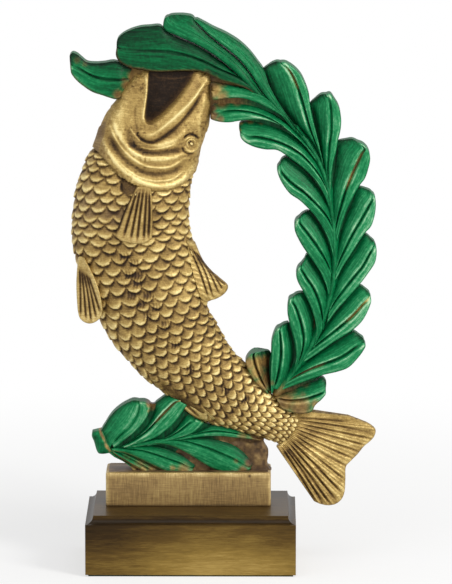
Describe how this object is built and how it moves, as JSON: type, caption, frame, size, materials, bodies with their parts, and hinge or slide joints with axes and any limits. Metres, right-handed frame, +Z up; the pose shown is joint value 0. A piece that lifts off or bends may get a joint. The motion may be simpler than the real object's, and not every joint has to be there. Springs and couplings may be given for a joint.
{
  "type": "fishing trophy figure",
  "caption": "Fishing trophy: an antique gold carp standing in a green leaf wreath on a textured plinth, fixed to a moulded dark wooden board.",
  "frame": {"origin": "centre of the underside of the board, on the face of the felt", "axes": "+X to the right in the picture, towards the tail fin, +Y away from the viewer, +Z up"},
  "size_m": [0.1633, 0.07, 0.2968],
  "materials": {
    "dark_wood": "high gloss lacquer over dark brown stained wood",
    "green_felt": "thin felt",
    "zinc_steel": "zinc plated",
    "plinth_gold": "cast resin with a brushed antique gold paint",
    "rock_brown": "cast resin with a matt brown undercoat",
    "antique_gold": "cast resin with satin antique gold paint, dark in the recesses",
    "leaf_green": "cast resin painted satin green, dry brushed lighter on the ridges"
  },
  "bodies": {
    "root": {"base_felt": "green_felt", "base_board": "dark_wood", "screw_washers": "zinc_steel", "fixing_screws": "zinc_steel", "plinth": "plinth_gold", "rock": "rock_brown", "fish_body": "antique_gold", "gill_covers": "antique_gold", "mouth_lips": "antique_gold", "fish_eyes": "antique_gold", "pectoral_fins": "antique_gold", "pelvic_fins": "antique_gold", "dorsal_fin": "antique_gold", "anal_fin": "antique_gold", "tail_fin": "antique_gold", "outer_leaves": "leaf_green", "inner_leaves": "leaf_green", "crown_leaves": "leaf_green", "short_branch": "leaf_green", "branch_cut_end": "leaf_green"}
  },
  "joints": []
}
